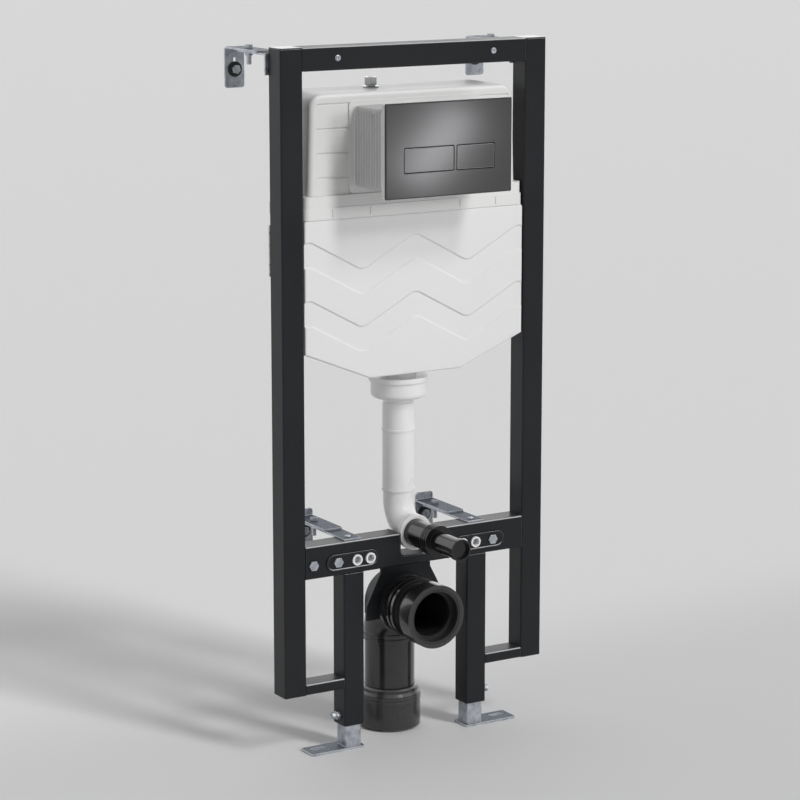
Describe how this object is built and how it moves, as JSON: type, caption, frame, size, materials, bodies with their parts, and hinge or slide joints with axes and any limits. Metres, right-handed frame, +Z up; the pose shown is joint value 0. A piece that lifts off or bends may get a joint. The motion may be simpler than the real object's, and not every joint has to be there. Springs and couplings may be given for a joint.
{
  "type": "wall hung toilet installation frame",
  "caption": "Steel installation frame for a wall hung toilet, with concealed cistern, flush plate, flush pipe, drain bend and telescopic floor feet, fixed to a wall by angles.",
  "frame": {"origin": "centre of the anchor hole on the wall side of the upper left wall angle", "axes": "+Y into the wall, +Z up, +X to the right as seen from the front"},
  "size_m": [0.5085, 0.311, 1.164],
  "materials": {
    "frame_steel": "satin powder coat, dark anthracite",
    "zinc_steel": "bright zinc plating, slightly mottled",
    "tank_plastic": "moulded, semi gloss off white",
    "cover_foam": "moulded foam board, matt off white",
    "plate_metallic": "metallised, finely brushed grey",
    "black_plastic": "gloss black pipe plastic",
    "black_rubber": "matt black rubber",
    "white_plastic": "white moulded plastic",
    "chrome": "polished chrome"
  },
  "bodies": {
    "frame": {"left_post": "frame_steel", "right_post": "frame_steel", "post_caps": "black_plastic", "top_rail": "frame_steel", "cross_rail": "frame_steel", "pipe_saddle": "frame_steel", "left_lower_rail": "frame_steel", "right_lower_rail": "frame_steel", "left_leg": "frame_steel", "right_leg": "frame_steel", "leg_clamp_bolts": "zinc_steel", "upper_left_wall_angle": "zinc_steel", "upper_right_wall_angle": "zinc_steel", "lower_left_wall_angle": "zinc_steel", "lower_right_wall_angle": "zinc_steel", "upper_left_arm": "zinc_steel", "upper_right_arm": "zinc_steel", "lower_left_arm": "zinc_steel", "lower_right_arm": "zinc_steel", "bracket_bolts": "zinc_steel", "left_stud_plate": "frame_steel", "right_stud_plate": "frame_steel", "stud_sleeves": "white_plastic", "cistern_lower": "tank_plastic", "cistern_upper": "tank_plastic", "cistern_belt": "tank_plastic", "cistern_hangers": "zinc_steel", "front_cover": "cover_foam", "access_collar": "white_plastic", "flush_plate": "plate_metallic", "inlet_nut": "chrome", "cup_nut": "white_plastic", "flush_pipe": "white_plastic", "flush_elbow": "white_plastic", "elbow_collar": "white_plastic", "flush_plug": "black_plastic", "drain_holder": "frame_steel", "drain_bend": "black_plastic", "drain_seal": "black_rubber", "drain_pipe": "black_plastic", "drain_socket": "black_plastic"},
    "left_foot": {"left_foot": "zinc_steel"},
    "right_foot": {"right_foot": "zinc_steel"},
    "large_button": {"large_button": "plate_metallic"},
    "small_button": {"small_button": "plate_metallic"}
  },
  "joints": [
    {"name": "large_button_press", "type": "slide", "parent": "frame", "child": "large_button", "axis": [0, 1, 0], "range_m": [0, 0.004], "stiffness_N_per_m": 1500},
    {"name": "small_button_press", "type": "slide", "parent": "frame", "child": "small_button", "axis": [0, 1, 0], "range_m": [0, 0.004], "stiffness_N_per_m": 1500},
    {"name": "left_foot_slide", "type": "slide", "parent": "frame", "child": "left_foot", "axis": [0, 0, -1], "range_m": [-0.032, 0.16]},
    {"name": "right_foot_slide", "type": "slide", "parent": "frame", "child": "right_foot", "axis": [0, 0, -1], "range_m": [-0.032, 0.16]}
  ]
}
